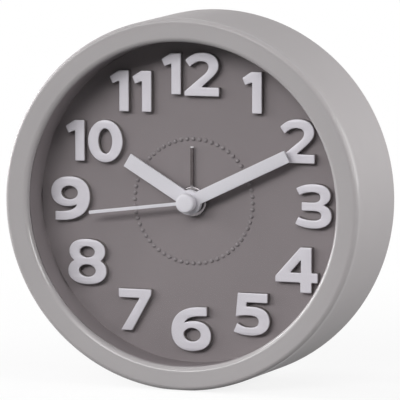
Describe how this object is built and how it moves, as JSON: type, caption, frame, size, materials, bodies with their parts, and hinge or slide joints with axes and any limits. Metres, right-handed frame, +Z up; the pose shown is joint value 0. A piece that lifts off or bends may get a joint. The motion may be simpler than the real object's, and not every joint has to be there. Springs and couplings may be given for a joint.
{
  "type": "analog alarm clock",
  "caption": "Round table alarm clock: drum case with a wide flat bezel, deep dial with raised numerals, bar hands and a quartz alarm movement set from the back.",
  "frame": {"origin": "middle of the footprint on the surface that the pads stand on", "axes": "+Z up, dial faces -Y, +X to the right seen from the front"},
  "size_m": [0.1344, 0.0468, 0.1328],
  "materials": {
    "case_plastic": "fine satin texture, warm grey",
    "lens": "clear polished acrylic",
    "dial_plastic": "matt, darker warm grey",
    "numeral_white": "white faces on grey sides",
    "hand_white": "satin white lacquer",
    "alarm_hand_metal": "polished",
    "pad_rubber": "matt",
    "movement_plastic": "matt black",
    "switch_plastic": "satin black",
    "wheel_plastic": "natural acetal",
    "rotor_plastic": "plastic bonded magnet, matt",
    "spring_metal": "bright strip",
    "copper_wire": "enamelled copper wire",
    "board": "solder mask",
    "crystal_can": "bright can",
    "chip_resin": "black resin drop",
    "cell_jacket": "printed film jacket"
  },
  "bodies": {
    "clock": {"front_case": "case_plastic", "foot_pad_front": "pad_rubber", "foot_pad_rear": "pad_rubber", "lens": "lens", "dial": "dial_plastic", "numeral_1": "numeral_white", "numeral_2": "numeral_white", "numeral_3": "numeral_white", "numeral_4": "numeral_white", "numeral_5": "numeral_white", "numeral_6": "numeral_white", "numeral_7": "numeral_white", "numeral_8": "numeral_white", "numeral_9": "numeral_white", "numeral_10_tens": "numeral_white", "numeral_10_units": "numeral_white", "numeral_11_tens": "numeral_white", "numeral_11_units": "numeral_white", "numeral_12_tens": "numeral_white", "numeral_12_units": "numeral_white", "movement_front_plate": "movement_plastic", "train_plate": "movement_plastic", "movement_rear_shell": "movement_plastic", "stator": "spring_metal", "coil_bobbin": "wheel_plastic", "coil_winding": "copper_wire", "circuit_board": "board", "quartz_crystal": "crystal_can", "chip": "chip_resin", "alarm_contact_spring": "spring_metal", "battery_cell": "cell_jacket", "battery_contact_plus": "spring_metal", "battery_contact_minus": "spring_metal", "back_cover": "case_plastic", "buzzer": "movement_plastic"},
    "second_hand": {"second_hand": "hand_white", "second_hand_cap": "hand_white", "seconds_wheel": "wheel_plastic"},
    "third_wheel": {"third_wheel": "wheel_plastic"},
    "centre_wheel": {"centre_wheel": "wheel_plastic"},
    "fifth_wheel": {"fifth_wheel": "wheel_plastic"},
    "rotor": {"rotor": "rotor_plastic"},
    "time_set_knob": {"time_set_knob": "case_plastic", "time_set_shaft": "wheel_plastic"},
    "minute_hand": {"minute_hand": "hand_white", "minute_cannon": "wheel_plastic"},
    "minute_work_wheel": {"minute_work_wheel": "wheel_plastic"},
    "hour_hand": {"hour_hand": "hand_white", "hour_wheel": "wheel_plastic"},
    "alarm_set_knob": {"alarm_set_knob": "case_plastic", "alarm_set_shaft": "wheel_plastic"},
    "alarm_hand": {"alarm_hand": "alarm_hand_metal", "alarm_wheel": "wheel_plastic"},
    "alarm_switch": {"alarm_switch": "switch_plastic"},
    "battery_cover": {"battery_cover": "case_plastic"}
  },
  "joints": [
    {"name": "second_hand_turn", "type": "hinge", "parent": "clock", "child": "second_hand", "pos_m": [0, 0, 0.0656], "axis": [0, 1, 0], "continuous": true},
    {"name": "fifth_wheel_turn", "type": "hinge", "parent": "clock", "child": "fifth_wheel", "pos_m": [-0.00972, 0, 0.0656], "axis": [0, 1, 0], "continuous": true},
    {"name": "rotor_turn", "type": "hinge", "parent": "clock", "child": "rotor", "pos_m": [-0.01707, 0, 0.0656], "axis": [0, 1, 0], "continuous": true},
    {"name": "third_wheel_turn", "type": "hinge", "parent": "clock", "child": "third_wheel", "pos_m": [0, 0, 0.0752], "axis": [0, 1, 0], "continuous": true},
    {"name": "centre_wheel_turn", "type": "hinge", "parent": "clock", "child": "centre_wheel", "pos_m": [0, 0, 0.0656], "axis": [0, 1, 0], "continuous": true},
    {"name": "time_set_turn", "type": "hinge", "parent": "clock", "child": "time_set_knob", "pos_m": [0.01386, 0, 0.0736], "axis": [0, 1, 0], "continuous": true},
    {"name": "minute_hand_turn", "type": "hinge", "parent": "clock", "child": "minute_hand", "pos_m": [0, 0, 0.0656], "axis": [0, 1, 0], "continuous": true},
    {"name": "minute_work_turn", "type": "hinge", "parent": "clock", "child": "minute_work_wheel", "pos_m": [0.00693, 0, 0.0696], "axis": [0, 1, 0], "continuous": true},
    {"name": "hour_hand_turn", "type": "hinge", "parent": "clock", "child": "hour_hand", "pos_m": [0, 0, 0.0656], "axis": [0, 1, 0], "continuous": true},
    {"name": "alarm_set_turn", "type": "hinge", "parent": "clock", "child": "alarm_set_knob", "pos_m": [-0.01386, 0, 0.0736], "axis": [0, 1, 0], "continuous": true},
    {"name": "alarm_hand_turn", "type": "hinge", "parent": "clock", "child": "alarm_hand", "pos_m": [0, 0, 0.0656], "axis": [0, 1, 0], "continuous": true},
    {"name": "alarm_switch_slide", "type": "slide", "parent": "clock", "child": "alarm_switch", "axis": [1, 0, 0], "range_m": [0, 0.004]},
    {"name": "battery_cover_lift", "type": "slide", "parent": "clock", "child": "battery_cover", "axis": [0, 1, 0], "range_m": [0, 0.03]}
  ],
  "couplings": [
    {"joint": "fifth_wheel_turn", "follows": "second_hand_turn", "ratio": -5},
    {"joint": "rotor_turn", "follows": "second_hand_turn", "ratio": 30},
    {"joint": "third_wheel_turn", "follows": "second_hand_turn", "ratio": -0.13333},
    {"joint": "centre_wheel_turn", "follows": "second_hand_turn", "ratio": 0.016667},
    {"joint": "minute_hand_turn", "follows": "time_set_turn", "ratio": 1},
    {"joint": "minute_work_turn", "follows": "time_set_turn", "ratio": -0.33333},
    {"joint": "hour_hand_turn", "follows": "time_set_turn", "ratio": 0.083333},
    {"joint": "alarm_hand_turn", "follows": "alarm_set_turn", "ratio": -0.33333}
  ]
}
